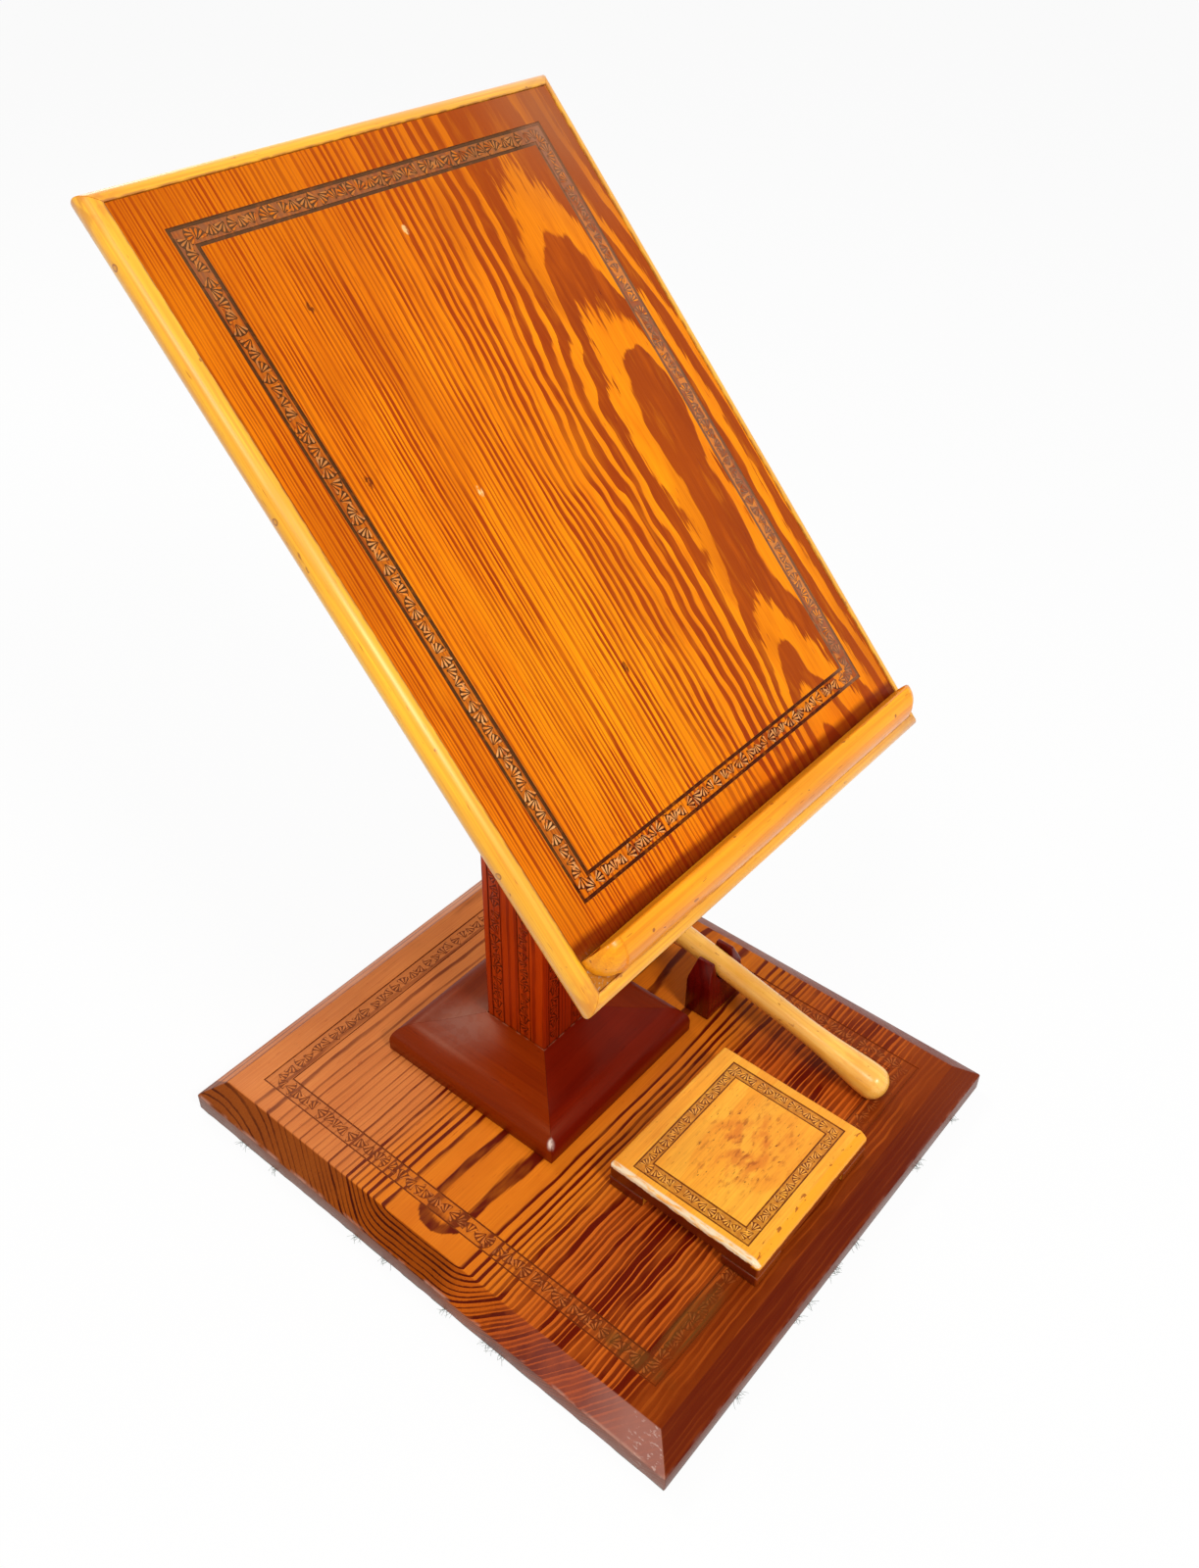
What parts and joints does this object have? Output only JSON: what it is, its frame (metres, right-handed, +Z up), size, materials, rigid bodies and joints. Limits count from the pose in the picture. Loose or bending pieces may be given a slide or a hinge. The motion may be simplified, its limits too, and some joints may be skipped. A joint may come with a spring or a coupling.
{
  "type": "table lectern",
  "caption": "Wooden table lectern: a sloping ledged book board on a square post and chamfered base, with a loose gavel and sounding block.",
  "frame": {"origin": "middle of the underside, on the surface that the lectern stands on", "axes": "+Z up; the reader stands at -Y; +X is the reader's right"},
  "size_m": [0.302, 0.3346, 0.5023],
  "materials": {
    "pitch_pine_base": "stained and varnished, gloss",
    "pitch_pine_panel": "amber varnish, gloss",
    "pitch_pine_post": "stained and varnished, satin gloss",
    "plinth_red_brown": "dark stain and varnish, gloss",
    "moulding_honey": "honey varnish, gloss",
    "rest_dark_red": "dark red stain, gloss",
    "gavel_pale_honey": "clear varnish, gloss",
    "block_pale_maple": "clear varnish, worn edges",
    "baize_green": "felted wool cloth",
    "screw_steel": "dulled steel"
  },
  "bodies": {
    "stand": {"baize_pad": "baize_green", "base_board": "pitch_pine_base", "plinth_moulding_front": "plinth_red_brown", "plinth_moulding_back": "plinth_red_brown", "plinth_moulding_left": "plinth_red_brown", "plinth_moulding_right": "plinth_red_brown", "post": "pitch_pine_post", "book_panel": "pitch_pine_panel", "board_cleat": "pitch_pine_panel", "edge_moulding_left": "moulding_honey", "edge_moulding_right": "moulding_honey", "edge_moulding_top": "moulding_honey", "edge_moulding_bottom": "moulding_honey", "book_ledge": "moulding_honey", "gavel_rest": "rest_dark_red", "gavel_head_rest": "rest_dark_red", "post_screw_1": "screw_steel", "post_screw_2": "screw_steel", "cleat_screw_1": "screw_steel", "cleat_screw_2": "screw_steel", "cleat_screw_3": "screw_steel", "cleat_screw_4": "screw_steel", "cleat_post_screw_1": "screw_steel", "cleat_post_screw_2": "screw_steel", "gavel_rest_screw": "screw_steel", "head_rest_screw_1": "screw_steel", "head_rest_screw_2": "screw_steel", "moulding_pin_left_1": "screw_steel", "moulding_pin_left_2": "screw_steel", "moulding_pin_left_3": "screw_steel", "moulding_pin_right_1": "screw_steel", "moulding_pin_right_2": "screw_steel", "moulding_pin_right_3": "screw_steel", "moulding_pin_top_1": "screw_steel", "moulding_pin_top_2": "screw_steel", "moulding_pin_bottom_1": "screw_steel", "moulding_pin_bottom_2": "screw_steel", "ledge_pin_left": "screw_steel", "ledge_pin_right": "screw_steel"},
    "gavel": {"gavel_handle": "gavel_pale_honey", "gavel_head": "gavel_pale_honey"},
    "sounding_block": {"block_top": "block_pale_maple", "block_foot_1": "block_pale_maple", "block_foot_2": "block_pale_maple", "block_foot_3": "block_pale_maple", "block_foot_4": "block_pale_maple"}
  },
  "joints": [
    {"name": "gavel_lift", "type": "slide", "parent": "stand", "child": "gavel", "axis": [0, 0, 1], "range_m": [0, 0.1]},
    {"name": "block_lift", "type": "slide", "parent": "stand", "child": "sounding_block", "axis": [0, 0, 1], "range_m": [0, 0.1]}
  ]
}
